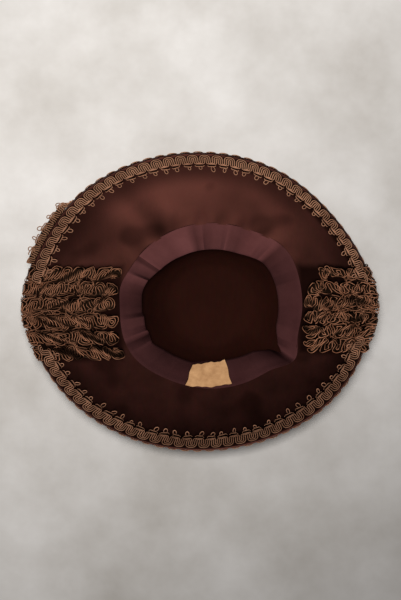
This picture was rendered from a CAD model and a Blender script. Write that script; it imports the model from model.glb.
"""An oval saucer hat lying crown down, seen from straight above.

Sizes are in millimetres in the classes below and become metres where a mesh is made.
Angles are in degrees round the hat, counterclockwise from +X as seen from above.
"""

from __future__ import annotations

import logging
from dataclasses import dataclass, field
from enum import Enum
from typing import Callable, Sequence

import bpy
import numpy as np
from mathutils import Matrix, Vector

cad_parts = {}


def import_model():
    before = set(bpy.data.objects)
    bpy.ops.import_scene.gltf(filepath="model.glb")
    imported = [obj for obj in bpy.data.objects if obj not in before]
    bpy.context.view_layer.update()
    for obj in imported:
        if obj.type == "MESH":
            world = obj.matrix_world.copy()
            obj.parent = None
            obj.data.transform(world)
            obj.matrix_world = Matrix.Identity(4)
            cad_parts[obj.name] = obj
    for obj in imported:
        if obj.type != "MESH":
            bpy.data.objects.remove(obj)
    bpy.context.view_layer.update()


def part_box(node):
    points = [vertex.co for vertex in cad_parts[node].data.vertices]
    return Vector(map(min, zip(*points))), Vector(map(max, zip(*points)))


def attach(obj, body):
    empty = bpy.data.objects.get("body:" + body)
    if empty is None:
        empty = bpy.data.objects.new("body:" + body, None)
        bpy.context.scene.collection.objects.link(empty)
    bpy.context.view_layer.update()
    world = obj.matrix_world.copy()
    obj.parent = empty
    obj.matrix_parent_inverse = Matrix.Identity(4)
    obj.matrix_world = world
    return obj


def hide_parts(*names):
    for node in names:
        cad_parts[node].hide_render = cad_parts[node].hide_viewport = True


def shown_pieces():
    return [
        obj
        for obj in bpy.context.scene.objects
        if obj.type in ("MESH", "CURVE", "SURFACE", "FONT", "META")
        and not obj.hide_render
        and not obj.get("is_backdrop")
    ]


MM = 0.001
LOG = logging.getLogger("saucer_hat")
Array = np.ndarray
Socket = bpy.types.NodeSocket


class Side(Enum):
    """A side panel's side, as seen looking down into the hat."""

    LEFT = -1
    RIGHT = 1


@dataclass(frozen=True)
class Bend:
    """A place where an outline or a height swells or sinks.

    at and spread are in degrees, by is a share of what it changes.
    """

    at: float
    spread: float
    by: float


@dataclass(frozen=True)
class Dent:
    """A soft dent, ridge or hollow of the brim or its satin.

    at and spread are in degrees, out and reach are shares of the way to the rim. by is a height
    in mm, up where it is positive, or a depth of shade.
    """

    at: float
    out: float
    spread: float
    reach: float
    by: float

    def at_place(self, angle: Array, out: Array) -> Array:
        """How much of it is felt at each place."""
        return self.by * bell(out, self.out, self.reach) * nearness(angle, self.at, self.spread)


def bell(value: Array, middle: float, reach: float) -> Array:
    """A bell curve: 1 at its middle, sunk to 1/e at its reach."""
    return np.exp(-(((value - middle) / reach) ** 2))


def nearness(angle: Array, at: float, spread: float) -> Array:
    """A bell curve round the hat: 1 at its middle angle, sunk to 1/e at its spread."""
    return bell((np.asarray(angle, float) - at + 180.0) % 360.0 - 180.0, 0.0, spread)


def swell(bends: Sequence[Bend], angle: Array) -> Array:
    """The sum of all bends at each angle."""
    return sum(bend.by * nearness(angle, bend.at, bend.spread) for bend in bends)


def unit(vectors: Array) -> Array:
    """Each vector over its own length."""
    return vectors / np.maximum(np.linalg.norm(vectors, axis=-1, keepdims=True), 1e-12)


def scaled(vectors: Array, by: Array) -> Array:
    """Each vector times its own number."""
    return vectors * np.asarray(by, float)[..., None]


def smooth_step(value: Array, low: float, high: float) -> Array:
    """A soft step from 0 at low to 1 at high: 3 t squared less 2 t cubed."""
    t = np.clip((np.asarray(value, float) - low) / (high - low), 0.0, 1.0)
    return t * t * (3.0 - 2.0 * t)


def drift(rng: np.random.Generator, place: Array, spacing: float) -> Array:
    """Smooth random values along a line, from about -1 to 1.

    Random values stand every spacing along the line, and a cosine blend joins them.

    Args:
        rng: the seeded source of the values.
        place: distances along the line, from 0 up.
        spacing: the distance between two random values.
    """
    steps = np.maximum(np.asarray(place, float) - np.min(place), 0.0) / spacing
    values = rng.uniform(-1.0, 1.0, int(steps.max()) + 3)
    low = steps.astype(int)
    blend = (1.0 - np.cos(np.pi * (steps - low))) / 2.0
    return values[low] * (1.0 - blend) + values[low + 1] * blend


@dataclass
class Surface:
    """A mesh as arrays: points in mm, faces as blocks with equal corners, and a UV for each point.

    shade, where there is one, says from 0 to 1 how much each point lies in another piece's shade.
    """

    points: Array
    faces: list[Array]
    uv: Array
    shade: Array | None = None

    @staticmethod
    def joined(parts: Sequence["Surface"]) -> "Surface":
        """All parts as one surface."""
        starts = np.cumsum([0] + [len(part.points) for part in parts[:-1]])
        faces = [block + start for part, start in zip(parts, starts) for block in part.faces]
        points = np.concatenate([part.points for part in parts])
        shades = [np.zeros(len(part.points)) if part.shade is None else part.shade for part in parts]
        uv = np.concatenate([part.uv for part in parts])
        return Surface(points, faces, uv, np.concatenate(shades))

    def facing_out(self) -> "Surface":
        """The surface with its faces turned so that its signed volume is positive."""
        volume = 0.0
        for block in self.faces:
            first = self.points[block[:, 0]]
            for i in range(1, block.shape[1] - 1):
                crossed = np.cross(self.points[block[:, i]], self.points[block[:, i + 1]])
                volume += float((first * crossed).sum())
        if volume < 0.0:
            self.faces = [block[:, ::-1] for block in self.faces]
        return self


def grid_faces(rows: int, columns: int, round_rows: bool, round_columns: bool) -> Array:
    """The quads of a grid whose point (i, j) has number i * columns + j.

    Args:
        rows: points along the first way.
        columns: points along the second way.
        round_rows: whether the last row joins the first.
        round_columns: whether the last column joins the first.
    """
    i = np.arange(rows if round_rows else rows - 1)[:, None]
    j = np.arange(columns if round_columns else columns - 1)[None, :]
    here, right = i * columns + j, i * columns + (j + 1) % columns
    next_row = ((i + 1) % rows) * columns
    return np.stack([here, next_row + j, next_row + (j + 1) % columns, right], axis=-1).reshape(-1, 4)


def round_edge(upper: Array, lower: Array) -> Array:
    """Each row of one grid, followed by the other grid's row reversed."""
    return np.concatenate([upper, lower[:, ::-1]], axis=1)


def shell(top: Array, bottom: Array, closed: bool, uv: Array, shade: Array | None = None) -> Surface:
    """A thin closed sheet between two grids of the same shape.

    Args:
        top: grid of points of shape (rows, columns, 3).
        bottom: the same for the other face.
        closed: whether the last row joins the first. If not, quads close its two ends.
        uv: a UV for each grid point.
        shade: a shade for each grid point, if there is any.
    """
    rows, columns = top.shape[:2]
    faces = [grid_faces(rows, 2 * columns, closed, True)]
    if not closed:
        j = np.arange(columns - 1)
        end = np.stack([j, j + 1, 2 * columns - 2 - j, 2 * columns - 1 - j], axis=1)
        faces += [end, end[:, ::-1] + (rows - 1) * 2 * columns]
    covered = None if shade is None else round_edge(shade, shade).ravel()
    points = round_edge(top, bottom).reshape(-1, 3)
    return Surface(points, faces, round_edge(uv, uv).reshape(-1, 2), covered).facing_out()


def cup(outside: Array, inside: Array, uv: Array) -> Surface:
    """A closed bowl: two grids joined along their last columns, each with a cap over its first.

    Args:
        outside: grid of shape (round, columns, 3), from the middle of the tip outwards.
        inside: the same for the inner face.
        uv: a UV for each grid point.
    """
    rows, columns = outside.shape[:2]
    ring = np.arange(rows)[None, :] * 2 * columns
    faces = [grid_faces(rows, 2 * columns, True, False), ring, ring[:, ::-1] + 2 * columns - 1]
    points = round_edge(outside, inside).reshape(-1, 3)
    return Surface(points, faces, round_edge(uv, uv).reshape(-1, 2)).facing_out()


def tubes(paths: Array, normals: Array, radius: float, shade: Array, sides: int = 6) -> Surface:
    """Round cords along many paths at once, with a cap on each end and the length in mm as U.

    A cord's ring is its path's point plus radius times (sine a times the side vector less
    cosine a times the surface's normal), so the seam runs along its underside.

    Args:
        paths: points of shape (cords, points, 3).
        normals: the carrying surface's normal at each point.
        radius: half the cord's thickness.
        shade: how much each of the paths' points lies in the shade, from 0 to 1.
        sides: corners of a ring.
    """
    cords, count = paths.shape[:2]
    tangent = unit(np.gradient(paths, axis=1))
    side = unit(np.cross(tangent, normals))
    upright = np.cross(side, tangent)
    turn = (2.0 * np.pi * (np.arange(sides) + 0.5) / sides)[:, None]
    ring = np.sin(turn) * side[:, :, None, :] - np.cos(turn) * upright[:, :, None, :]
    points = (paths[:, :, None, :] + radius * ring).reshape(-1, 3)
    starts = np.arange(cords)[:, None] * count * sides
    cap = np.arange(sides)[None, :]
    faces = [
        (grid_faces(count, sides, False, True)[None] + starts[..., None]).reshape(-1, 4),
        cap[:, ::-1] + starts,
        cap + starts + (count - 1) * sides,
    ]
    step = np.linalg.norm(np.diff(paths, axis=1), axis=-1)
    along = np.concatenate([np.zeros((cords, 1)), np.cumsum(step, axis=1)], axis=1)
    u = np.repeat(along[:, :, None], sides, axis=2)
    v = np.broadcast_to(np.arange(sides) / sides, u.shape)
    covered = np.repeat(shade[:, :, None], sides, axis=2).ravel()
    return Surface(points, faces, np.stack([u, v], axis=-1).reshape(-1, 2), covered).facing_out()


def to_object(
    name: str, surface: Surface, material: bpy.types.Material, crease: float
) -> bpy.types.Object:
    """Puts a surface into a Blender mesh and links its object at the origin.

    Args:
        name: the object's name.
        surface: the arrays to use, in mm.
        material: the finish of all its faces.
        crease: the angle in degrees above which an edge stays sharp.
    """
    mesh = bpy.data.meshes.new(name)
    corners = np.concatenate([block.reshape(-1) for block in surface.faces])
    totals = np.concatenate([np.full(len(block), block.shape[1]) for block in surface.faces])
    mesh.vertices.add(len(surface.points))
    mesh.vertices.foreach_set("co", (surface.points * MM).astype(np.float32).ravel())
    mesh.loops.add(len(corners))
    mesh.loops.foreach_set("vertex_index", corners.astype(np.int32))
    mesh.polygons.add(len(totals))
    starts = np.concatenate([[0], np.cumsum(totals)[:-1]])
    mesh.polygons.foreach_set("loop_start", starts.astype(np.int32))
    layer = mesh.uv_layers.new(name="UVMap")
    layer.data.foreach_set("uv", surface.uv[corners].astype(np.float32).ravel())
    if surface.shade is not None:
        shade = mesh.attributes.new("shade", "FLOAT", "POINT")
        shade.data.foreach_set("value", surface.shade.astype(np.float32))
    mesh.update(calc_edges=True)
    mesh.validate()
    mesh.polygons.foreach_set("use_smooth", np.ones(len(mesh.polygons), bool))
    mesh.set_sharp_from_angle(angle=np.radians(crease))
    mesh.materials.append(material)
    piece = bpy.data.objects.new(name, mesh)
    bpy.context.scene.collection.objects.link(piece)
    return piece


@dataclass
class HatForm:
    """The shape that every piece of the hat follows, from its driving sizes in mm."""

    rim_length: float = 341.0
    rim_width: float = 294.0
    head_length: float = 183.0
    head_width: float = 167.0
    head_offset: tuple[float, float] = (12.0, -4.6)
    crown_height: float = 42.0
    brim_rise: float = 28.0
    crown_wall: float = 2.0
    brim_wall: float = 2.4
    facing_wall: float = 1.0
    puff_room: float = 0.3
    gap: float = 0.3
    crown_lip: float = 2.6
    crown_round: float = 0.045
    rim_bends: tuple[Bend, ...] = (
        Bend(33, 24, -0.037),
        Bend(322, 22, 0.009),
        Bend(158, 15, -0.018),
        Bend(183, 12, 0.018),
        Bend(0, 12, 0.022),
    )
    head_bends: tuple[Bend, ...] = (
        Bend(327, 10, 0.125),
        Bend(37, 19, 0.066),
        Bend(168, 9, 0.03),
        Bend(211, 22, 0.058),
    )
    rim_lifts: tuple[Bend, ...] = (Bend(150, 40, 0.16), Bend(330, 50, 0.08), Bend(85, 40, -0.05))
    dents: tuple[Dent, ...] = (
        Dent(144, 0.52, 10, 0.22, -1.8),
        Dent(115, 0.3, 8, 0.3, -1.2),
        Dent(262, 0.5, 16, 0.3, -1.4),
    )
    folds: tuple[Dent, ...] = (
        Dent(128, 0.62, 6, 0.5, 0.75),
        Dent(106, 0.2, 5, 0.35, 0.45),
        Dent(60, 0.15, 8, 0.3, 0.5),
        Dent(72, 0.6, 7, 0.35, 0.4),
        Dent(97, 0.65, 6, 0.3, 0.3),
        Dent(40, 0.5, 9, 0.4, 0.35),
        Dent(160, 0.6, 4, 0.3, 0.45),
        Dent(232, 0.5, 7, 0.4, 0.45),
        Dent(285, 0.5, 8, 0.4, 0.4),
        Dent(312, 0.6, 6, 0.4, 0.35),
    )
    # The crown in section: share of the head's radius and share of its height over the tip.
    crown_profile: tuple[tuple[float, float], ...] = (
        (0.0, 0.0), (0.4, 0.0), (0.53, 0.05), (0.66, 0.2), (0.78, 0.44), (0.9, 0.73), (1.0, 1.0),
    )
    shift: Array = field(default_factory=lambda: np.zeros(3))

    @property
    def facing_top(self) -> float:
        """The height of the satin facing's upper face over the brim."""
        return self.gap + self.facing_wall

    @property
    def facing_base(self) -> float:
        """The height over the brim from which the satin facing puffs up."""
        return self.facing_top - self.puff_room

    @property
    def mean_radius(self) -> float:
        """The head line's mean radius."""
        return (self.head_length + self.head_width) / 4.0

    def oval(self, length: float, width: float, angle: Array) -> Array:
        """An ellipse's radius at each angle."""
        turn = np.radians(angle)
        return 1.0 / np.hypot(np.cos(turn) / (length / 2.0), np.sin(turn) / (width / 2.0))

    def head_radius(self, angle: Array, fade: Array | float = 1.0) -> Array:
        """The head outline's radius, with its bends faded towards the crown's tip."""
        oval = self.oval(self.head_length, self.head_width, angle)
        return oval * (1.0 + swell(self.head_bends, angle) * fade)

    def head_point(self, angle: Array, radius: Array, height: Array) -> Array:
        """Points at a distance from the head's middle."""
        angle, radius, height = np.broadcast_arrays(angle, radius, height)
        x = self.head_offset[0] + radius * np.cos(np.radians(angle))
        y = self.head_offset[1] + radius * np.sin(np.radians(angle))
        return np.stack([x, y, height], axis=-1)

    def brim_point(self, angle: Array, out: Array | float) -> Array:
        """The brim's upper surface.

        In plan a point lies the share out of the way from the head line to the rim. Its height
        is the crown's height plus the rise times 0.55 out plus 0.45 out squared, plus the dents.

        Args:
            angle: degrees round the hat.
            out: 0 at the head line and 1 at the rim.
        """
        angle, out = np.broadcast_arrays(np.asarray(angle, float), np.asarray(out, float))
        inner = self.head_point(angle, self.head_radius(angle), 0.0)
        rim = self.oval(self.rim_length, self.rim_width, angle) * (1.0 + swell(self.rim_bends, angle))
        x = inner[..., 0] * (1.0 - out) + rim * np.cos(np.radians(angle)) * out
        y = inner[..., 1] * (1.0 - out) + rim * np.sin(np.radians(angle)) * out
        rise = self.brim_rise * (1.0 + swell(self.rim_lifts, angle))
        z = self.crown_height + rise * (0.55 * out + 0.45 * out * out)
        for dent in self.dents:
            z = z + dent.at_place(angle, out)
        return np.stack([x, y, z], axis=-1)

    def brim_normal(self, angle: Array, out: Array) -> Array:
        """The brim's upward unit normal, from differences of half a degree and a hundredth out."""
        outward = self.brim_point(angle, out + 0.01) - self.brim_point(angle, out - 0.01)
        along = self.brim_point(angle + 0.5, out) - self.brim_point(angle - 0.5, out)
        return unit(np.cross(outward, along))

    def puffed(self, angle: Array, out: Array) -> Array:
        """How far the satin stands off its base: soft folds and a faint ripple, never below 0."""
        angle, out = np.broadcast_arrays(np.asarray(angle, float), np.asarray(out, float))
        lift = np.zeros(angle.shape)
        for fold in self.folds:
            lift = lift + fold.at_place(angle, out)
        strong = 0.16 + 0.34 * nearness(angle, 95.0, 38.0)
        ripple = strong * (1.0 + np.sin(np.radians(angle * 23.0) + 5.0 * out)) * bell(out, 0.02, 0.16)
        sway = 0.2 * (1.0 + np.sin(np.radians(angle * 9.0) - 4.0 * out) * np.sin(5.0 * out + 1.0))
        return lift + ripple + sway

    def brim_lifted(self, angle: Array, out: Array, lift: Array | float) -> Array:
        """Points a height above the brim's upper surface, along its normal."""
        return self.brim_point(angle, out) + scaled(self.brim_normal(angle, out), lift)

    def brim_run(self, angle: Array) -> Array:
        """The brim's straight length from the head line to the rim."""
        return np.linalg.norm(self.brim_point(angle, 1.0) - self.brim_point(angle, 0.0), axis=-1)

    def out_at(self, angle: Array, inset: Array | float) -> Array:
        """The share out that lies a length in from the rim."""
        return 1.0 - inset / self.brim_run(angle)

    def brim_place(self, x: Array, y: Array) -> tuple[Array, Array]:
        """The angle and the share out of places in plan, by Newton's method."""
        angle = np.degrees(np.arctan2(y - self.head_offset[1] / 2.0, x - self.head_offset[0] / 2.0))
        out = np.full(angle.shape, 0.5)
        for _ in range(12):
            here = self.brim_point(angle, out)
            per_angle = (self.brim_point(angle + 0.1, out) - here) * 10.0
            per_out = (self.brim_point(angle, out + 0.01) - here) * 100.0
            det = per_angle[..., 0] * per_out[..., 1] - per_angle[..., 1] * per_out[..., 0]
            dx, dy = x - here[..., 0], y - here[..., 1]
            angle = angle + (dx * per_out[..., 1] - dy * per_out[..., 0]) / det
            out = out + (dy * per_angle[..., 0] - dx * per_angle[..., 1]) / det
        return angle, out

    def crown_section(self, out: Array) -> tuple[Array, Array, Array]:
        """The crown's outside in section: height, and the inward and upward parts of its normal.

        The profile's corners are rounded by averaging it over a short stretch either side. The
        normal points into the crown.

        Args:
            out: shares of the head's radius.
        """
        outs, ups = np.array(self.crown_profile).T
        height = self.crown_height - self.crown_lip
        near = np.linspace(-self.crown_round, self.crown_round, 9)

        def level(at: Array) -> Array:
            reach = np.minimum(1.0, np.minimum(at, 1.0 - at) / self.crown_round + 1e-6)
            spots = np.clip(at[..., None] + near * reach[..., None], 0.0, 1.0)
            return np.interp(spots, outs, ups).mean(axis=-1) * height

        out = np.asarray(out, float)
        after, before = np.minimum(out + 0.01, 1.0), np.maximum(out - 0.01, 0.0)
        slope = (level(after) - level(before)) / ((after - before) * self.mean_radius)
        long = np.hypot(1.0, slope)
        return level(out), slope / long, 1.0 / long

    def cap_grid(self, angle: Array, out: Array, lift: Array) -> Array:
        """A cap of cloth at a lift into the crown from its outside."""
        z, inward, upward = self.crown_section(out)
        radius = (self.head_radius(angle, out**3) - self.gap) * out - inward * lift
        return self.head_point(angle, radius, z + upward * lift)

    def set_shift(self) -> None:
        """Finds where the frame's origin lies, from the crown that the frame holds."""
        low, high = (np.array(corner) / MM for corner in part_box("crown"))
        angle = np.arange(0.0, 360.0, 6.0)
        own = self.head_point(angle, self.head_radius(angle) - self.gap, 0.0)
        self.shift = (low + high) / 2.0 - (own.min(axis=0) + own.max(axis=0)) / 2.0
        self.shift[2] = 0.0


def colour(hex_value: str) -> tuple[float, float, float, float]:
    """An sRGB hex value as linear red, green, blue and an alpha of 1."""
    srgb = np.array([int(hex_value[i : i + 2], 16) for i in (1, 3, 5)]) / 255.0
    linear = np.where(srgb <= 0.04045, srgb / 12.92, ((srgb + 0.055) / 1.055) ** 2.4)
    return (*map(float, linear), 1.0)


@dataclass
class Nodes:
    """Adds shader nodes to a material's tree."""

    tree: bpy.types.NodeTree

    def add(self, kind: str, inputs: dict[str | int, object], **settings: object) -> bpy.types.Node:
        """Adds a node.

        Args:
            kind: the node's type without its common beginning.
            inputs: its inputs by name or number, each a value or another node's output.
            settings: its options by name.
        """
        node = self.tree.nodes.new("ShaderNode" + kind)
        for name, value in settings.items():
            setattr(node, name, value)
        for name, value in inputs.items():
            self.put(node, name, value)
        return node

    def put(self, node: bpy.types.Node, name: str | int, value: object) -> None:
        """Sets or links one input of a node."""
        if isinstance(value, Socket):
            self.tree.links.new(value, node.inputs[name])
        else:
            node.inputs[name].default_value = value

    def noise(self, place: Socket, scale: float, rough: float = 0.5) -> bpy.types.Node:
        """Cloudy noise with five octaves."""
        inputs = {"Vector": place, "Scale": scale, "Detail": 5.0, "Roughness": rough}
        return self.add("TexNoise", inputs)

    def bands(self, place: Socket, scale: float, way: str, distortion: float = 0.0) -> bpy.types.Node:
        """Soft bands, one for each 0.314 of the coordinate at scale 1."""
        inputs = {"Vector": place, "Scale": scale, "Distortion": distortion}
        return self.add("TexWave", inputs, wave_type="BANDS", bands_direction=way, wave_profile="SIN")

    def mix(self, blend: str, share: float | Socket, first: Socket, second: object) -> Socket:
        """Two colours blended, the second by a share."""
        node = self.add("Mix", {0: share, 6: first, 7: second}, data_type="RGBA", blend_type=blend)
        return node.outputs[2]

    def maths(self, operation: str, *values: float | Socket) -> Socket:
        """The result of a sum on one to three values."""
        return self.add("Math", dict(enumerate(values)), operation=operation).outputs["Value"]

    def scaled(self, place: Socket, scale: tuple[float, float, float]) -> Socket:
        """Coordinates times a scale along each axis."""
        return self.add("Mapping", {"Vector": place, "Scale": scale}).outputs["Vector"]

    def ramp(self, value: Socket, *stops: tuple[float, tuple[float, ...]]) -> Socket:
        """A run between two stops, each a position and a colour."""
        node = self.add("ValToRGB", {"Fac": value})
        for element, (position, tint) in zip(node.color_ramp.elements, stops):
            element.position = position
            element.color = tint
        return node.outputs["Color"]


@dataclass(frozen=True)
class Finish:
    """A surface's finish: two colours that drift into each other, gloss and fuzz."""

    name: str
    dark: str
    light: str
    roughness: float
    sheen: float = 0.0
    sheen_tint: str = "#ffffff"
    patch: float = 30.0
    gloss_tint: str = "#ffffff"
    gloss: float = 0.5
    bump: float = 0.5
    unlit: str = "#0c0504"

    def woven(self, nodes: Nodes, place: bpy.types.Node, base: Socket) -> tuple[Socket, Socket | None]:
        """The colour with the weave on it, and the weave's height if it has one. Plain here."""
        return base, None

    def material(self) -> bpy.types.Material:
        """Builds the material: mottled colour, weave, and shade where trim or a fold covers it.

        The colours mix by patches of the patch size in mm. In the shade both colour and gloss go.
        """
        material = bpy.data.materials.new(self.name)
        material.use_nodes = True
        nodes = Nodes(material.node_tree)
        shader = material.node_tree.nodes["Principled BSDF"]
        place = nodes.add("TexCoord", {})
        patches = nodes.noise(place.outputs["Object"], 1.0 / (self.patch * MM), 0.6).outputs["Fac"]
        base = nodes.ramp(patches, (0.3, colour(self.dark)), (0.7, colour(self.light)))
        face, height = self.woven(nodes, place, base)
        shade = nodes.add("Attribute", {}, attribute_name="shade").outputs["Fac"]
        inputs = {
            "Roughness": self.roughness,
            "Sheen Weight": self.sheen,
            "Sheen Roughness": 0.4,
            "Sheen Tint": colour(self.sheen_tint),
            "Specular Tint": colour(self.gloss_tint),
            "Base Color": nodes.mix("MIX", shade, face, colour(self.unlit)),
            "Specular IOR Level": nodes.maths("MULTIPLY_ADD", shade, -0.9 * self.gloss, self.gloss),
        }
        if height is not None:
            bump = nodes.add("Bump", {"Strength": self.bump, "Distance": 0.0002, "Height": height})
            inputs["Normal"] = bump.outputs["Normal"]
        for name, value in inputs.items():
            nodes.put(shader, name, value)
        return material


@dataclass(frozen=True)
class SatinFinish(Finish):
    """Acetate satin: long smooth floats give a broad soft gloss, with faint streaks along the warp.

    The streaks run along Y. A real thread is about 0.15 mm, too fine to show, so it is drawn
    coarser.
    """

    bump: float = 0.2
    thread: float = 0.9

    def woven(self, nodes: Nodes, place: bpy.types.Node, base: Socket) -> tuple[Socket, Socket | None]:
        """Streaks along the warp."""
        streaks = nodes.scaled(place.outputs["Object"], (1.0, 0.3, 1.0))
        fibre = nodes.noise(streaks, 0.3 / (self.thread * MM))
        return nodes.mix("MULTIPLY", 0.5, base, fibre.outputs["Color"]), fibre.outputs["Fac"]


@dataclass(frozen=True)
class GrosgrainFinish(Finish):
    """Rayon grosgrain ribbon: close ribs across its width give it a dull, lined face."""

    rib: float = 0.9

    def woven(self, nodes: Nodes, place: bpy.types.Node, base: Socket) -> tuple[Socket, Socket | None]:
        """Ribs across the ribbon, whose U is in mm."""
        ribs = nodes.bands(place.outputs["UV"], 0.314 / self.rib, "X")
        return nodes.mix("MULTIPLY", 0.25, base, ribs.outputs["Color"]), ribs.outputs["Fac"]


@dataclass(frozen=True)
class GimpFinish(Finish):
    """Rayon-wrapped gimp cord: fine thread wound round a core gives a silky, slanted lay."""

    lay: float = 0.8
    flank: float = 0.035

    def woven(self, nodes: Nodes, place: bpy.types.Node, base: Socket) -> tuple[Socket, Socket | None]:
        """Slanted wraps, and flanks that stay dark because they are close to their neighbours.

        V goes once round the cord, 0 under it and a half on top. One turn moves the pattern by one
        wrap.
        """
        around = place.outputs["UV"]
        wraps = nodes.bands(nodes.scaled(around, (1.0 / self.lay, 1.0, 1.0)), 0.63, "DIAGONAL")
        wrapped = nodes.mix("MULTIPLY", 0.3, base, wraps.outputs["Color"])
        split = nodes.add("SeparateXYZ", {"Vector": around})
        aside = nodes.maths("ABSOLUTE", nodes.maths("SUBTRACT", split.outputs["Y"], 0.5))
        flank = nodes.ramp(aside, (0.09, (1.0,) * 4), (0.25, (self.flank,) * 3 + (1.0,)))
        return nodes.mix("MULTIPLY", 1.0, wrapped, flank), wraps.outputs["Fac"]


@dataclass(frozen=True)
class LabelFinish(Finish):
    """Aged cream taffeta: a plain weave with yellowed, slightly soiled patches."""

    bump: float = 0.4
    thread: float = 0.5

    def woven(self, nodes: Nodes, place: bpy.types.Node, base: Socket) -> tuple[Socket, Socket | None]:
        """Threads both ways, which show only as relief."""
        ways = [nodes.bands(place.outputs["UV"], 0.314 / self.thread, way, 0.2) for way in "XY"]
        return base, nodes.maths("MULTIPLY", *(way.outputs["Fac"] for way in ways))


@dataclass
class Wardrobe:
    """All the finishes, each made into a material once."""

    satin: Finish = SatinFinish(
        "satin_brim", "#1f110e", "#371d1a", 0.5, 0.04, "#c08070", 26.0, "#ffa090", 0.55
    )
    outer: Finish = SatinFinish(
        "satin_outside", "#2d1712", "#381f19", 0.5, 0.04, "#c08070", 45.0, "#ff9b86"
    )
    lining: Finish = SatinFinish(
        "satin_lining", "#1d0d0a", "#24100c", 0.7, 0.0, "#a06a58", 45.0, "#ff9b86", 0.12
    )
    ribbon: Finish = GrosgrainFinish(
        "grosgrain_ribbon", "#563437", "#694346", 0.62, 0.04, "#b090a0", 35.0, "#ff9b90"
    )
    gimp: Finish = GimpFinish(
        "gimp_cord", "#a87962", "#dfa98a", 0.4, 0.1, "#e0b090", 18.0, "#ffd0a8"
    )
    ruched: Finish = GimpFinish(
        "gimp_cord_ruched", "#a56e53", "#dc9f7e", 0.42, 0.1, "#e0b090", 12.0, "#ffd0a8"
    )
    turned: Finish = GimpFinish(
        "gimp_cord_turned", "#8a624c", "#b5886c", 0.45, 0.1, "#e0b090", 18.0, "#ffd0a8", flank=0.7
    )
    label: Finish = LabelFinish("taffeta_label", "#ab8259", "#d0a678", 0.85, 0.05, patch=9.0)
    floor: Finish = Finish("pale_floor", "#c0bcb6", "#e4e2df", 0.9, patch=150.0, gloss=0.1)
    made: dict[str, bpy.types.Material] = field(default_factory=dict)

    def get(self, name: str) -> bpy.types.Material:
        """The material of a finish, made when it is first asked for."""
        if name not in self.made:
            self.made[name] = getattr(self, name).material()
        return self.made[name]


@dataclass
class Maker:
    """Turns surfaces into pieces that ride on the hat and stand for their nodes."""

    form: HatForm
    wardrobe: Wardrobe

    def piece(
        self, name: str, surface: Surface, finish: str, slot: str, crease: float = 50.0
    ) -> bpy.types.Object:
        """Makes a piece that replaces the node of its own name.

        Args:
            name: the node's name; the piece adds _cloth to it.
            surface: its mesh before the frame's shift.
            finish: the finish's name in the wardrobe.
            slot: the record's material slot.
            crease: the angle above which its edges stay sharp.
        """
        surface.points = surface.points + self.form.shift
        made = to_object(name + "_cloth", surface, self.wardrobe.get(finish), crease)
        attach(made, "root")
        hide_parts(name)
        LOG.info("%s: %d points", made.name, len(surface.points))
        return made


@dataclass
class Crown:
    """The cap of the crown and its lining."""

    maker: Maker
    around: int = 240
    across: int = 44
    lining_wall: float = 0.5
    lining_end: float = 0.95
    crumple: float = 0.55

    def cap(self, low: float, high: float, end: float, crumple: float) -> Surface:
        """A cap between two lifts, whose cloth wavers by crumple mm.

        The waver is a product of slow sines round and across the cap, faded at its edge.
        """
        ring = np.linspace(0.0, 360.0, self.around, endpoint=False)
        angle, out = np.meshgrid(ring, np.linspace(0.02, end, self.across), indexing="ij")
        x, y = out * np.cos(np.radians(angle)), out * np.sin(np.radians(angle))
        waver = np.sin(7.0 * x + 2.0 * y + 1.0) * np.sin(5.0 * y - 3.0 * x)
        waver = waver + 0.6 * np.sin(11.0 * x - 6.0 * y)
        lift = crumple * (1.6 + waver) * (1.0 - smooth_step(out, 0.8 * end, end))
        outside = self.maker.form.cap_grid(angle, out, np.full(out.shape, low))
        inside = self.maker.form.cap_grid(angle, out, high + lift)
        return cup(outside, inside, np.stack([x, y], axis=-1) * 90.0)

    def build(self) -> None:
        """Makes the crown and the lining."""
        form = self.maker.form
        low = form.crown_wall + form.gap
        self.maker.piece("crown", self.cap(0.0, form.crown_wall, 1.0, 0.0), "outer", "satin")
        lining = self.cap(low, low + self.lining_wall, self.lining_end, self.crumple)
        self.maker.piece("crown_lining", lining, "lining", "lining")


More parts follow.
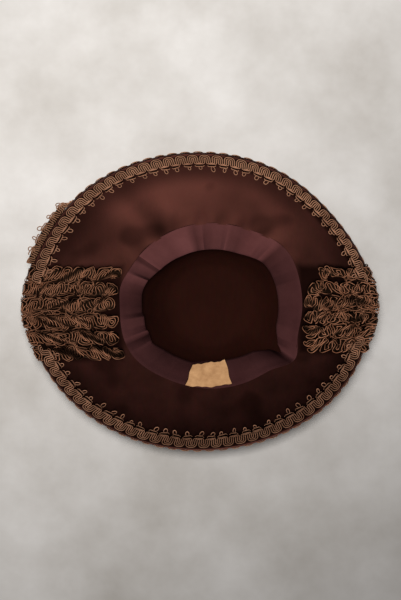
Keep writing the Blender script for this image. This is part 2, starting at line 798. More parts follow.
@dataclass
class Brim:
    """The brim and the satin that faces its underside."""

    maker: Maker
    around: int = 480
    across: int = 60
    # Each side panel's side, middle, half height and inner end, as the facing's shade needs them.
    panels: tuple[tuple[Side, float, float, float], ...] = (
        (Side.LEFT, -12.0, 46.0, 80.0),
        (Side.RIGHT, -8.5, 43.0, 102.0),
    )
    # Broad hollows of the cloth, each with its depth of shade.
    hollows: tuple[Dent, ...] = (
        Dent(75.0, 0.4, 18.0, 0.34, 0.36),
        Dent(121.0, 0.08, 8.0, 0.2, 0.4),
        Dent(141.0, 0.5, 8.0, 0.25, 0.42),
    )

    def shaded(self, points: Array, angle: Array, out: Array) -> Array:
        """How much the facing lies in the shade, under and near the trim and in its own hollows."""
        inset = (1.0 - out) * self.maker.form.brim_run(angle)
        upper_left = nearness(angle, 152.0, 24.0)
        deep = 0.6 + 0.2 * upper_left + 0.2 * nearness(angle, 95.0, 26.0)
        for at, spread in ((270.0, 50.0), (34.0, 14.0)):
            deep = deep * (1.0 - 0.5 * nearness(angle, at, spread))
        beyond = deep * (1.0 - smooth_step(inset, 15.0, 36.0 + 9.0 * upper_left))
        rim = np.maximum(1.0 - smooth_step(inset, 11.0, 18.0), beyond) * smooth_step(inset, 0.6, 2.4)
        x, y = points[..., 0], points[..., 1]
        for side, middle, half, reach in self.panels:
            past = np.maximum(np.abs(y - middle) - half, reach - x * side.value)
            rim = np.maximum(rim, 1.0 - smooth_step(past, -2.5, 7.0))
        # Slow soft hollows of the loosely laid cloth, as products of bent sines in plan.
        hollow = np.sin(x / 19.0 + 1.4 * np.sin(y / 27.0) + 0.9)
        hollow = hollow * np.sin(y / 16.0 - 1.2 * np.sin(x / 23.0))
        hollow = hollow + 0.5 * np.sin(x / 8.0 - y / 13.0) * np.sin(y / 7.0 + x / 17.0)
        shade = np.maximum(0.5 * smooth_step(hollow, 0.05, 1.0), 0.9 * rim)
        for dip in self.hollows:
            shade = 1.0 - (1.0 - shade) * (1.0 - dip.at_place(angle, out))
        return shade

    def layer(self, low: float, high: float, puffed: bool) -> Surface:
        """A layer of the brim between two lifts, its upper face puffed and shaded or plain."""
        form = self.maker.form
        ring = np.linspace(0.0, 360.0, self.around, endpoint=False)
        angle, out = np.meshgrid(ring, np.linspace(0.0, 1.0, self.across), indexing="ij")
        rounded = 1.0 - 0.5 * smooth_step(out, 0.985, 1.0)
        mid = (low + high) / 2.0
        lift = mid + (high - mid) * rounded + (form.puffed(angle, out) if puffed else 0.0)
        top = form.brim_lifted(angle, out, lift)
        bottom = form.brim_lifted(angle, out, mid - (mid - low) * rounded)
        return shell(top, bottom, True, top[..., :2], self.shaded(top, angle, out) if puffed else None)

    def build(self) -> None:
        """Makes the brim and its facing."""
        form = self.maker.form
        self.maker.piece("brim", self.layer(-form.brim_wall, 0.0, False), "outer", "satin", 70.0)
        facing = self.layer(form.gap, form.facing_base, True)
        self.maker.piece("brim_facing", facing, "satin", "facing", 70.0)


@dataclass
class HeadRibbon:
    """The grosgrain ribbon that lines the head opening."""

    maker: Maker
    inset: float = -0.7
    drop: float = 13.0
    thick: float = 0.55
    seam_lift: float = 0.9
    lap_at: float = 145.5
    lap_span: float = 6.0
    lap_lift: float = 0.8
    steps: int = 620
    across: int = 14
    # The free edge: angle and share of the head outline's radius.
    edge: tuple[tuple[float, float], ...] = (
        (0, 0.755), (40, 0.735), (62, 0.705), (97, 0.695), (120, 0.697), (144, 0.725),
        (158, 0.77), (185, 0.773), (189, 0.752), (199, 0.758), (203, 0.74), (212, 0.762),
        (222, 0.727), (250, 0.725), (265, 0.675), (288, 0.685), (313, 0.725), (323, 0.765),
        (326.5, 0.86), (330, 0.79), (344, 0.762), (360, 0.755),
    )
    # Folds across the ribbon: angle, how far its free edge stands in mm, and the shade there.
    folds: tuple[tuple[float, float, float], ...] = (
        (0, 0.0, 0.3), (17, 1.8, 0.55), (24, -0.9, 0.5), (33, -1.5, 0.6), (40, 1.5, 0.74),
        (43, 3.0, 0.25), (45, 3.6, 0.0), (48, 1.5, 0.0), (52, -0.6, 0.05), (60, 0.3, 0.12),
        (68, -0.6, 0.48), (75, 0.3, 0.4), (77.5, 1.8, 0.14), (81, -0.9, 0.36), (88, 0.3, 0.32),
        (95.5, -1.2, 0.55), (97.5, 1.2, 0.28), (103, -0.8, 0.6), (109, 0.4, 0.05), (116, 0.2, 0.0),
        (126, 0.6, 0.2), (137, 1.4, 0.12), (142, 1.0, 0.2), (145.5, 1.8, 0.0), (147, -0.9, 0.28),
        (152, -1.6, 0.35), (156.5, -1.8, 0.62), (158.5, 2.7, 0.2), (164, -0.9, 0.42),
        (172, 0.6, 0.6), (180, -0.4, 0.76), (186, -0.8, 0.64), (189, 2.1, 0.5), (196, 0.6, 0.4),
        (201, 2.7, 0.3), (204.5, -2.4, 0.8), (210, 1.8, 0.4), (224, -0.6, 0.62), (236, 0.2, 0.42),
        (250, 0.0, 0.36), (272, 0.2, 0.26), (290, 0.3, 0.22), (305, 0.8, 0.26), (318, -1.8, 0.2),
        (324.5, -3.3, 0.75), (328, 4.5, 0.1), (335, -1.2, 0.2), (345, 0.6, 0.32), (360, 0.0, 0.3),
    )

    def section(self, angle: Array, down: Array, lift: Array | float) -> Array:
        """Points of the ribbon's upper face.

        A point's radius goes straight from the head line to the free edge with down. Its height
        falls by the drop times down less a bow, and the folds add to it towards the free edge.

        Args:
            angle: degrees round the head.
            down: 0 at the head line and 1 at the free edge.
            lift: a height added all over.
        """
        form = self.maker.form
        outer = form.head_radius(angle) - self.inset
        inner = form.head_radius(angle) * np.interp(angle % 360.0, *np.array(self.edge, float).T)
        radius = outer * (1.0 - down) + inner * down
        fall = self.drop * (down - 0.28 * down * (1.0 - down))
        at, height, _ = np.array(self.folds, float).T
        stand = np.interp(angle % 360.0, at, height) * (0.1 + 0.9 * down)
        seam = self.seam_lift * (1.0 - smooth_step(down, 0.0, 0.3))
        top = form.crown_height + form.facing_top + seam
        return form.head_point(angle, radius, top + lift - fall + stand)

    def build(self) -> None:
        """Makes the ribbon, whose first end laps over its last."""
        ring = np.linspace(0.0, 360.0 + self.lap_span, self.steps)
        turned, down = np.meshgrid(ring, np.linspace(0.0, 1.0, self.across), indexing="ij")
        lift = self.lap_lift * (1.0 - smooth_step(turned, self.lap_span, self.lap_span * 2.2))
        angle = self.lap_at - turned
        top = self.section(angle, down, lift)
        bottom = top - np.array([0.0, 0.0, self.thick])
        at, _, dark = np.array(self.folds, float).T
        shade = np.interp(angle % 360.0, at, dark) * (0.6 + 0.4 * down)
        under_lap = 0.6 * smooth_step(turned, 354.0, 358.0)
        uv = np.stack([np.radians(turned) * self.maker.form.mean_radius, down * 25.0], axis=-1)
        surface = shell(top, bottom, False, uv, np.maximum(shade, under_lap))
        ribbon = self.maker.piece("head_ribbon", surface, "ribbon", "ribbon", 60.0)


@dataclass
class Label:
    """The bare cloth label on the ribbon at the back."""

    maker: Maker
    ribbon: HeadRibbon
    at: float = 268.2
    width: float = 47.0
    length: float = 22.5
    above: float = 1.7
    thick: float = 0.35
    turned: float = 3.0
    ribbon_width: float = 26.0

    def build(self) -> None:
        """Makes the label: across runs along the ribbon and down its width, with wavy edges."""
        steps = np.linspace(-0.5, 0.5, 61), np.linspace(0.0, 1.0, 31)
        across, down = np.meshgrid(*steps, indexing="ij")
        wave = 0.5 * np.sin(9.0 * down + 2.0) * across * 2.0
        radius = float(self.maker.form.head_radius(np.array(self.at)))
        angle = self.at + np.degrees((across * self.width + wave) / radius)
        edge = 0.35 * np.sin(14.0 * across + 1.0) + 0.25 * np.sin(31.0 * across)
        inwards = self.above + down * self.length + edge * (2.0 * down - 1.0) + across * self.turned
        raised = 0.75 + 0.5 * np.sin(6.0 * across + 1.0) ** 2 * np.abs(2.0 * down - 1.0)
        top = self.ribbon.section(angle, inwards / self.ribbon_width, raised)
        bottom = top - np.array([0.0, 0.0, self.thick])
        uv = np.stack([across * self.width, down * self.length], axis=-1)
        label = self.maker.piece("label", shell(top, bottom, False, uv), "label", "label", 60.0)


def half_round(points: int, power: float) -> tuple[Array, Array]:
    """A half circle's cosines and sines to a power. One below 1 squares its shoulders."""
    turn = np.linspace(0.0, np.pi, points)[None, :]
    return np.sign(np.cos(turn)) * np.abs(np.cos(turn)) ** power, np.abs(np.sin(turn)) ** power


@dataclass
class GimpPattern:
    """Gimp braid laid flat: U runs along it, V across it from its arches to its picots, W up.

    Cords run side by side up and down in square-shouldered arches and flat-bottomed loops. A
    short bar lies under each loop, and a picot hangs from the bar. A thin dark bed of tie
    threads lies under the body.
    """

    period: float = 12.4
    strands: int = 3
    cord: float = 0.57
    spacing: float = 2.07
    body: float = 10.3
    tall: float = 0.74
    flat: float = 0.32
    square: float = 0.76
    loop_square: float = 0.625
    arch_points: int = 11
    loop_points: int = 8
    bar_points: int = 10
    picot_points: int = 12
    bar_start: float = 1.9
    picot_start: float = 2.2
    picot_size: float = 1.0
    bed_wall: float = 0.2
    # The bars' and the picots' thickness, as shares of the cords'.
    bar_share: float = 0.95
    picot_share: float = 0.85

    def cords(self, periods: int) -> Array:
        """The cords, as U, V, W of shape (strands, points, 3).

        A cord at offset o turns in an arch of half width a = period / 4 + o, then in a loop of
        half width period / 2 - a. Both are superellipses, the loops more square.
        """
        offsets = self.spacing * (np.arange(self.strands) - (self.strands - 1) / 2.0)
        a = (self.period / 4.0 + offsets)[:, None]
        b = self.period / 2.0 - a
        widest = float(a.max())
        top = self.cord + widest * self.tall
        low = self.body - self.cord - widest * self.flat
        shoulder, crest = half_round(self.arch_points, self.square)
        arch = np.stack([-a * shoulder, top - a * self.tall * crest], axis=-1)
        corner, deep = half_round(self.loop_points, self.loop_square)
        loop = np.stack([self.period / 2.0 - b * corner, low + b * self.flat * deep], axis=-1)
        middle = np.full(a.shape, (top + low) / 2.0)
        legs = [np.stack([u, middle], axis=-1) for u in (a, self.period - a)]
        one = np.concatenate([arch, legs[0], loop, legs[1]], axis=1)
        starts = (np.arange(periods) + 0.5) * self.period
        moved = one[:, None] + np.stack([starts, np.zeros(periods)], axis=-1)[None, :, None]
        flat = moved.reshape(self.strands, -1, 2)
        # Each cord rides a little over its neighbour on the way up and under it on the way down.
        phase = 2.0 * np.pi * flat[..., :1] / self.period + np.arange(self.strands)[:, None, None]
        return np.concatenate([flat, 0.14 * (1.0 + np.sin(phase))], axis=-1)

    def bars(self, periods: int, rng: np.random.Generator) -> Array:
        """The bars, as U, V, W of shape (periods, points, 3): a straight run with hooked ends."""
        t = np.linspace(-1.0, 1.0, self.bar_points)[None, :]
        middle = (np.arange(periods)[:, None] + 1.0) * self.period
        middle = middle + rng.uniform(-0.7, 0.7, (periods, 1))
        half = 4.6 * rng.uniform(0.85, 1.05, (periods, 1))
        u = middle + half * np.sign(t) * np.abs(t) ** 0.8
        slant = rng.uniform(-0.9, 0.9, (periods, 1)) * t
        v = self.body + self.bar_start - 1.3 * np.abs(t) ** 7 + slant
        return np.stack([u, v, np.broadcast_to(0.35 + 0.5 * t**2, u.shape)], axis=-1)

    def picots(self, periods: int, rng: np.random.Generator) -> Array:
        """The picots: open rings that lean, fold and vary, each from under its bar.

        In its own frame a picot is a half width times sine t sideways and its half length
        times one less cosine t outwards, narrowed towards the bar.
        """
        t = np.linspace(0.35, 2.0 * np.pi - 0.35, self.picot_points)[None, :]
        wide = 1.9 * self.picot_size * rng.uniform(0.75, 1.15, (periods, 1))
        long = 2.5 * self.picot_size * rng.uniform(0.6, 1.1, (periods, 1))
        lean = rng.uniform(-0.9, 0.9, (periods, 1))
        sideways = wide * np.sin(t)
        outwards = long * (1.0 - np.cos(t))
        middle = (np.arange(periods)[:, None] + 1.0) * self.period
        middle = middle + rng.uniform(-1.5, 1.5, (periods, 1))
        u = middle + sideways * np.cos(lean) + outwards * np.sin(lean)
        v = self.body + self.picot_start + outwards * np.cos(lean) - sideways * np.sin(lean)
        w = 0.1 + rng.uniform(0.0, 0.9, (periods, 1)) * (1.0 - np.cos(t)) / 2.0
        return np.stack([u, v, np.broadcast_to(w, u.shape)], axis=-1)

    def bed(self, periods: int, placed: Callable[[Array, float], tuple[Array, ...]]) -> Surface:
        """The bed, laid by a function that gives the points of U, V, W lowered by a wall."""
        u = np.linspace(0.0, periods * self.period, periods * 8 + 1)[:, None]
        wave = np.cos(2.0 * np.pi * (u / self.period - 0.5))
        start = 1.1 + 1.5 * (1.0 - wave) / 2.0
        v = start + (self.body - 0.7 - start) * np.linspace(0.0, 1.0, 7)[None, :]
        flat = np.stack([np.broadcast_to(u, v.shape), v, np.full(v.shape, -0.75 * self.cord)], axis=-1)
        top, bottom = placed(flat, 0.0)[0], placed(flat, self.bed_wall)[0]
        return shell(top, bottom, False, np.zeros((*v.shape, 2)))


@dataclass
class RimBraid:
    """The braid round the rim, on its underside or its outside, between the side panels.

    The outside one is turned out from the rim from turned_from on, fully from turned_full to
    turned_back, and no more at turned_to. It is turned by most degrees there.
    """

    maker: Maker
    pattern: GimpPattern
    inset: float = 0.5
    overshoot: float = 1.0
    curl: float = 1.8
    standing: float = 0.5
    turned_from: float = 137.0
    turned_full: float = 149.0
    turned_back: float = 173.0
    turned_to: float = 215.0
    most: float = 158.0
    tucked: float = 4.6
    crossed: tuple[SidePanel, ...] = ()

    def lay_under(self, angle: Array, v: Array, w: Array) -> tuple[Array, Array]:
        """Places on the facing, lifted over the crossed panels: the points and the normals there."""
        form = self.maker.form
        slimmer = 1.0 - 0.2 * nearness(angle, 15.0, 40.0)
        out = form.out_at(angle, self.inset - 0.5 * nearness(angle, 20.0, 45.0) + v * slimmer)
        lift = form.facing_base + form.puffed(angle, out) + self.pattern.cord + w
        points = form.brim_lifted(angle, out, lift)
        over = np.zeros(angle.shape)
        for panel in self.crossed:
            inside = panel.half - np.abs(points[..., 1] - panel.middle)
            near = points[..., 0] * panel.side.value > 0.0
            over = np.maximum(over, np.where(near, smooth_step(inside, -4.0, 3.0), 0.0))
        normals = form.brim_normal(angle, out)
        return points + scaled(normals, 2.6 * over), normals

    def splayed(self, angle: Array) -> Array:
        """How far the outside braid is turned out from the rim at each angle, from 0 to 1."""
        opened = smooth_step(angle, self.turned_from, self.turned_full)
        return opened * (1.0 - smooth_step(angle, self.turned_back, self.turned_to))

    def lay_outside(self, angle: Array, v: Array, w: Array) -> tuple[Array, Array]:
        """Places on the brim's outside, or turned out from it where the braid stands away."""
        form = self.maker.form
        splayed, low = self.splayed(angle), nearness(angle, 270.0, 70.0)
        past = 1.5 - low - 0.9 * nearness(angle, 22.0, 40.0)
        inset = self.tucked * splayed - self.overshoot * past
        edge = form.brim_lifted(angle, form.out_at(angle, inset), -form.brim_wall)
        normal = form.brim_normal(angle, np.ones(angle.shape))
        inner = form.brim_point(angle, form.out_at(angle, 12.0))
        inward = unit(inner - form.brim_point(angle, 1.0))
        turn = np.radians(self.most) * splayed
        along = scaled(inward, np.cos(turn)) - scaled(normal, np.sin(turn))
        away = -scaled(normal, np.cos(turn)) - scaled(inward, np.sin(turn))
        # Past the edge the arches curl up beside it.
        curled = self.curl * (1.0 - low) * (1.0 - splayed) * (1.0 - smooth_step(v, 0.6, 2.6))
        height = self.standing + self.pattern.cord + w - curled
        return edge + scaled(along, v) + scaled(away, height), away

    def arc(self, name: str, start: float, end: float, outside: bool, seed: int) -> None:
        """Makes one length of braid and gives it to the node of its name.

        Args:
            name: the node.
            start: the angle at which it starts.
            end: the angle at which it ends, more than start.
            outside: whether it lies on the brim's outside.
            seed: seeds what varies along it.
        """
        form, pattern = self.maker.form, self.pattern
        rng = np.random.default_rng(seed)
        dense = np.linspace(start, end, 1500)
        line = form.brim_point(dense, form.out_at(dense, 6.0))
        run = np.concatenate([[0.0], np.cumsum(np.linalg.norm(np.diff(line, axis=0), axis=-1))])
        periods = int(round(run[-1] / pattern.period))
        stretch = run[-1] / (periods * pattern.period)
        lay = self.lay_outside if outside else self.lay_under
        grid = np.linspace(0.0, periods * pattern.period, 40 * periods)
        wandering, deepening, skewing = (
            size * drift(rng, grid, spacing)
            for size, spacing in ((0.5, 19.0), (0.05, 15.0), (1.0, 26.0))
        )

        def placed(flat: Array, lower: float) -> tuple[Array, Array, Array]:
            u, v, w = np.moveaxis(flat, -1, 0)
            skew = 0.06 * np.interp(u, grid, skewing)
            place = (u + np.interp(u, grid, wandering) + skew * (v - 6.0)) * stretch
            deeper = 1.0 + np.interp(u, grid, deepening)
            angle = np.interp(place, run, dense)
            return *lay(angle, v * deeper, w - lower), 0.38 * outside * self.splayed(angle)

        bed = pattern.bed(periods, placed)
        around = np.degrees(np.arctan2(bed.points[:, 1], bed.points[:, 0])) % 360.0
        bed.shade = 0.4 + 0.55 * self.splayed(around) if outside else np.full(len(around), 0.85)
        parts = [bed]
        for flat, share in (
            (pattern.cords(periods), 1.0),
            (pattern.bars(periods - 1, rng), pattern.bar_share),
            (pattern.picots(periods - 1, rng), pattern.picot_share),
        ):
            points, normals, shade = placed(flat, 0.0)
            parts.append(tubes(points, normals, pattern.cord * share, shade))
        self.maker.piece(name, Surface.joined(parts), "turned" if outside else "gimp", "gimp", 180.0)


@dataclass
class SidePanel:
    """A panel of gimp rows that run from the head ribbon over the rim to the outside."""

    maker: Maker
    pattern: GimpPattern
    side: Side
    rows: int
    pitch: float
    middle: float
    wrap: float = 30.0
    clear: float = 1.2
    corner: float = 13.0
    unrest: float = 0.6
    curls: float = 0.5
    gap_shade: float = 0.9
    seed: int = 7
    # How far short of the ribbon each row ends, from the top one down.
    short: tuple[float, ...] = (0.0, 0.0, 0.0, 0.0, 0.0, 0.0)

    @property
    def half(self) -> float:
        """Half the panel's height in plan."""
        return self.rows * self.pitch / 2.0

    @property
    def wall(self) -> float:
        """The thickness of the brim and its facing, round whose edge the rows turn."""
        return self.maker.form.facing_top + self.maker.form.brim_wall

    def ring(self, reach: float, steps: int) -> Array:
        """Angles from the lower side of the panel's middle to the upper, reach to each side."""
        middle = 0.0 if self.side is Side.RIGHT else 180.0
        return middle + np.linspace(-reach, reach, steps) * self.side.value

    def rim_line(self, y: Array) -> tuple[Array, Array]:
        """Where the rim crosses heights in plan, and how much of a length along the brim shows."""
        form, angle = self.maker.form, self.ring(60.0, 481)
        edge, inside = form.brim_point(angle, 1.0), form.brim_point(angle, 0.0)
        slope = np.linalg.norm((edge - inside)[:, :2], axis=-1) / form.brim_run(angle)
        return np.interp(y, edge[:, 1], edge[:, 0]), np.interp(y, edge[:, 1], slope)

    def lay(self, way: Array, y: Array, w: Array) -> tuple[Array, Array]:
        """Points and their carrying surface's normals.

        Args:
            way: length in from the rim along the brim, below 0 round the rim and outside.
            y: height in plan.
            w: height over the surface.
        """
        form = self.maker.form
        x_rim, slope = self.rim_line(y)
        turn_length = np.pi * self.wall / 2.0
        run = np.where(way > 0.0, way, np.maximum(-way - turn_length, 0.0))
        angle, out = form.brim_place(x_rim - self.side.value * run * slope, y)
        base, normal = form.brim_point(angle, out), form.brim_normal(angle, out)
        puff = np.where(way > 0.0, form.puffed(angle, out), 0.0)
        turned = np.pi * np.clip(-way / turn_length, 0.0, 1.0)
        outward = np.zeros(base.shape)
        outward[..., 0] = self.side.value
        outward = unit(outward - normal * (outward * normal).sum(axis=-1, keepdims=True))
        facing = scaled(normal, np.cos(turned)) + scaled(outward, np.sin(turned))
        middle = base + normal * ((form.facing_top - form.brim_wall) / 2.0)
        return middle + scaled(facing, self.wall / 2.0 + 0.25 + puff + w), facing

    def reach_in(self, index: int, centre: float) -> float:
        """A row's length along the brim, from the rim to its inner end near the ribbon.

        Args:
            index: the row's number, 0 for the top one.
            centre: the height in plan of its middle line.
        """
        form = self.maker.form
        around = np.arange(0.0, 360.0)
        head = form.head_point(around, form.head_radius(around), 0.0)
        close = np.abs(head[:, 1] - centre) < self.pitch / 2.0
        inner_x = (head[close, 0] * self.side.value).max() + self.clear + self.short[index]
        x_rim, slope = self.rim_line(np.array([centre]))
        return (abs(float(x_rim[0])) - inner_x) / float(slope[0])

    def row(self, index: int) -> None:
        """Makes one row: straight along the panel, with a quarter turn at its inner end."""
        form, pattern = self.maker.form, self.pattern
        rng = np.random.default_rng(self.seed * 100 + index)
        # The upper rows turn up at their inner end and the lower rows down.
        turn_way = 1.0 if index < self.rows / 2 else -1.0
        centre = self.middle + (self.rows / 2.0 - index - 0.5) * self.pitch
        edge_y = centre + turn_way * self.pitch / 2.0
        past_rim = np.pi * self.wall / 2.0 + self.wrap
        straight = self.reach_in(index, centre) - self.corner + past_rim
        fan_radius = self.corner - pattern.body / 2.0
        total = straight + np.pi / 2.0 * fan_radius
        periods = int(total // pattern.period)
        stretch = total / (periods * pattern.period)
        grid = np.linspace(0.0, periods * pattern.period, 40 * periods)

        def gathered(size: float, spacing: float, level: float = 0.0) -> Array:
            """How the gathering moves the cords along the row, drifting round a level."""
            return size * self.unrest * (level + drift(rng, grid, spacing))

        wandering, swaying = gathered(2.6, 9.0), gathered(1.5, 17.0)
        squeezing, skewing = gathered(0.22, 13.0), gathered(0.62, 7.5)
        lifting = gathered(0.85, 4.5, 1.0)
        sinking = drift(rng, np.linspace(0.0, 2.0 * grid[-1] + 60.0, 3000), 4.5)

        def placed(flat: Array, lower: float) -> tuple[Array, Array]:
            u, v, w = np.moveaxis(flat, -1, 0)
            skew = np.interp(u, grid, skewing)
            # The gathering bends the cords into small curls and stands some of them up.
            crimp = self.curls * np.sin(0.75 * v + 0.35 * u + 1.9 * index)
            curl = self.curls * np.sin(0.8 * u - 0.6 * v + 2.7 * index)
            w = w + 0.7 * self.curls * (1.0 + np.sin(0.9 * u + 0.8 * v + index))
            along = (u + np.interp(u, grid, wandering) + skew * (v - 6.0) + 1.3 * crimp) * stretch
            across = v * (0.97 + np.interp(u, grid, squeezing)) + 0.9 * curl
            # Past the straight run the braid turns a quarter round, so its arches fan outwards.
            turn = np.clip((along - straight) / fan_radius, 0.0, np.pi / 2.0)
            reach = np.maximum(self.corner - across, 0.8)
            way = np.minimum(along, straight) - past_rim + reach * np.sin(turn)
            inward = np.where(turn > 0.0, self.corner - reach * np.cos(turn), across)
            y = edge_y - turn_way * (inward + np.interp(u, grid, swaying))
            tilt = np.interp(u, grid, lifting) * (1.0 - np.clip(inward, 0.0, 13.0) / 20.0)
            return self.lay(way, y, w + pattern.cord + tilt - lower)

        def shaded(flat: Array) -> Array:
            """Deep where the braid sinks in slanted patches and where the next row stands over it."""
            u, v = flat[..., 0], flat[..., 1]
            place = (u + 1.6 * v + 20.0) / (2.0 * grid[-1] + 60.0) * (len(sinking) - 1)
            sunk = smooth_step(np.interp(place, np.arange(len(sinking)), sinking), 0.05, 0.75)
            edge = np.maximum(smooth_step(v, 11.5, 15.0), 1.0 - smooth_step(v, -0.5, 1.0))
            return np.maximum(0.96 * sunk, 0.93 * edge)

        bed = pattern.bed(periods, placed)
        bed.shade = np.full(len(bed.points), self.gap_shade)
        parts = [bed]
        last = int(straight / stretch / pattern.period) - 1
        for flat, share, depth in (
            (pattern.cords(periods), 1.0, 1.0),
            (pattern.bars(last, rng), pattern.bar_share, 0.4),
            (pattern.picots(last, rng), pattern.picot_share, 0.35),
            (self.tucks(last), 0.9, 1.0),
        ):
            points, normals = placed(flat, 0.0)
            sunk = np.maximum(depth * shaded(flat), 0.6 * smooth_step(-flat[..., 2], 0.0, 0.5))
            to_rim = 2.0 * np.hypot(points[..., 0] / form.rim_length, points[..., 1] / form.rim_width)
            sunk = sunk * (1.0 - 0.6 * smooth_step(to_rim, 0.93, 0.99))
            parts.append(tubes(points, normals, pattern.cord * share, sunk))
        name = f"{self.side.name.lower()}_row_{index + 1}"
        self.maker.piece(name, Surface.joined(parts), "ruched", "gimp", 180.0)

    def tucks(self, periods: int) -> Array:
        """Cords of the braid's gathered side, pushed together under the row's lower edge.

        They are the pattern's own cords, squeezed across and moved outwards and down.
        """
        u, v, w = np.moveaxis(self.pattern.cords(periods), -1, 0)
        return np.stack([u + 0.3 * self.pattern.period, 7.4 + 0.72 * v, w - 0.9], axis=-1)

    def edge_angle(self, upper: bool, inset: float, over: float) -> float:
        """The angle at which the rim braid ends, a little past the panel's upper or lower edge.

        Args:
            upper: whether it is the upper edge.
            inset: how far in from the rim the place is looked for.
            over: how far the braid runs on over the panel.
        """
        form, angle = self.maker.form, self.ring(80.0, 1601)
        y = self.middle + (1.0 if upper else -1.0) * (self.half + 0.8 - over)
        return float(np.interp(y, form.brim_point(angle, form.out_at(angle, inset))[:, 1], angle))

    def build(self) -> None:
        """Makes all the rows."""
        for index in range(self.rows):
            self.row(index)


@dataclass
class Studio:
    """The camera straight above, the pale floor and soft lights."""

    wardrobe: Wardrobe
    distance: float = 1.0
    rim_height: float = 0.072
    frame_span: float = 0.594
    sensor: float = 36.0
    aim: tuple[float, float] = (0.0005, 0.0015)

    def camera(self) -> None:
        """Hangs the camera over the hat: the frame's long side spans frame_span at the rim."""
        data = bpy.data.cameras.new("overhead_camera")
        data.sensor_width = self.sensor
        data.lens = self.sensor * self.distance / self.frame_span
        camera = bpy.data.objects.new("overhead_camera", data)
        camera.location = (*self.aim, self.rim_height + self.distance)
        bpy.context.scene.collection.objects.link(camera)
        bpy.context.scene.camera = camera

    def light(
        self,
        name: str,
        place: tuple[float, float, float],
        size: float,
        power: float,
        tint: str,
        on: Sequence[bpy.types.Object],
        behind: Sequence[bpy.types.Object],
    ) -> None:
        """Adds a square soft light that faces the hat, and that only some objects catch and block.

        Args:
            name: the light's name.
            place: where it stands, in metres.
            size: its side, in metres.
            power: its power, in watts.
            tint: its colour.
            on: the objects that it lights.
            behind: the objects that cast its shadows.
        """
        data = bpy.data.lights.new(name, "AREA")
        data.size = size
        data.energy = power
        data.color = colour(tint)[:3]
        lamp = bpy.data.objects.new(name, data)
        lamp.location = place
        x, y, z = np.array(place) - np.array([0.0, 0.0, 0.05])
        lamp.rotation_euler = (
            float(np.arctan2(np.hypot(x, y), z)),
            0.0,
            float(np.arctan2(y, x) + np.pi / 2.0),
        )
        bpy.context.scene.collection.objects.link(lamp)
        lit, blocking = (bpy.data.collections.new(name + end) for end in ("_lit", "_blocking"))
        for collection, members in ((lit, on), (blocking, behind)):
            for member in members:
                collection.objects.link(member)
        lamp.light_linking.receiver_collection = lit
        lamp.light_linking.blocker_collection = blocking

    def floor(self) -> bpy.types.Object:
        """Lays the floor under the crown's tip."""
        line = np.linspace(-3000.0, 3000.0, 121)
        x, y = np.meshgrid(line, line, indexing="ij")
        points = np.stack([x, y, np.full(x.shape, -0.2)], axis=-1).reshape(-1, 3)
        # The plaster grows darker from the top left to the bottom right of the picture.
        shade = np.clip(0.27 + 0.0005 * points[:, 0] - 0.00076 * points[:, 1], 0.0, 0.6)
        faces = [grid_faces(len(line), len(line), False, False)]
        surface = Surface(points, faces, points[:, :2], shade)
        floor = to_object("floor", surface, self.wardrobe.get("floor"), 30.0)
        if floor.data.polygons[0].normal.z < 0.0:
            floor.data.flip_normals()
        floor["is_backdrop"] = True
        return floor

    def build(self, pieces: Sequence[bpy.types.Object]) -> None:
        """Sets up the camera, the floor, the world and the lights round the hat's pieces.

        The key and the gloss light the hat, the hollow the lining and the label, the floor wash
        the floor, and the edge the outer braids.
        """
        self.camera()
        floor = self.floor()
        deep = [piece for piece in pieces if piece.name.startswith(("crown_lining", "label"))]
        shallow = [piece for piece in pieces if piece not in deep]
        turned = [piece for piece in pieces if piece.name.startswith("outer_braid")]
        warm = "#fff4ea"
        self.light("key", (0.15, -0.85, 1.5), 1.0, 14.2, warm, shallow, pieces)
        self.light("gloss", (0.1, -1.35, 1.15), 0.8, 13.0, warm, shallow, pieces)
        self.light("hollow", (-0.2, 0.1, 1.6), 0.8, 26.0, warm, deep, pieces)
        self.light("floor_wash", (-0.03, 0.12, 1.4), 0.26, 24.0, "#fffcfa", [floor], [floor, *pieces])
        self.light("edge", (-0.75, 1.15, 0.75), 0.5, 30.0, warm, turned, pieces)
        world = bpy.data.worlds.new("soft_world")
        world.use_nodes = True
        background = world.node_tree.nodes["Background"]
        background.inputs["Color"].default_value = colour("#e8e8ea")
        background.inputs["Strength"].default_value = 0.11
        bpy.context.scene.world = world
        bpy.context.scene.view_settings.view_transform = "Standard"


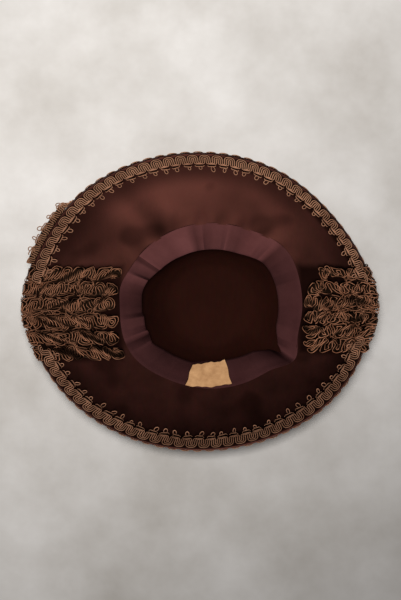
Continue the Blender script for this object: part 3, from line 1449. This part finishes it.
@dataclass
class Trim:
    """The gimp trim: two side panels and the rim braids between them."""

    maker: Maker
    end_inset: float = 2.0
    under_over: float = 17.0
    outer_over: float = 1.0
    first_seed: int = 11

    def build(self) -> None:
        """Makes the panels, then the front and back lengths of the rim braids."""
        ruched = GimpPattern(cord=0.45, body=14.2, tall=0.95, flat=0.6)
        fine = GimpPattern(
            period=9.0, strands=2, cord=0.45, spacing=2.35, body=13.2, tall=1.0, flat=0.7,
            picot_size=0.9,
        )
        left = SidePanel(
            self.maker, ruched, Side.LEFT, 6, pitch=16.0, middle=-12.0, unrest=0.9, curls=0.5, seed=3
        )
        right = SidePanel(
            self.maker, fine, Side.RIGHT, 6, pitch=14.6, middle=-8.5, unrest=1.15, curls=0.8, seed=5,
            gap_shade=0.78, short=(15.0, 5.0, -2.0, -1.0, 2.0, 5.0),
        )
        left.build()
        right.build()
        turned_out = GimpPattern(
            cord=0.55, spacing=2.0, tall=0.9, flat=0.6, square=0.8,
            bar_start=0.7, picot_start=0.3, picot_size=0.9,
        )
        under = RimBraid(self.maker, GimpPattern(), crossed=(left, right))
        outer = RimBraid(self.maker, turned_out)
        for number, (name, upper) in enumerate({"front": True, "back": False}.items()):
            first, last, turns = (right, left, 0.0) if upper else (left, right, 360.0)
            layers = (under, False, self.under_over), (outer, True, self.outer_over)
            for layer, outside, over in layers:
                start = first.edge_angle(upper, self.end_inset, over)
                end = last.edge_angle(upper, self.end_inset, over) + turns
                full_name = ("outer" if outside else "under") + "_braid_" + name
                layer.arc(full_name, start, end, outside, self.first_seed + number)


def main() -> None:
    """Builds the hat round its frame."""
    logging.basicConfig(level=logging.INFO, format="%(message)s")
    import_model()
    form = HatForm()
    form.set_shift()
    wardrobe = Wardrobe()
    maker = Maker(form, wardrobe)
    Crown(maker).build()
    Brim(maker).build()
    ribbon = HeadRibbon(maker)
    ribbon.build()
    Label(maker, ribbon).build()
    Trim(maker).build()
    Studio(wardrobe).build(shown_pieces())


if __name__ == "__main__":
    main()
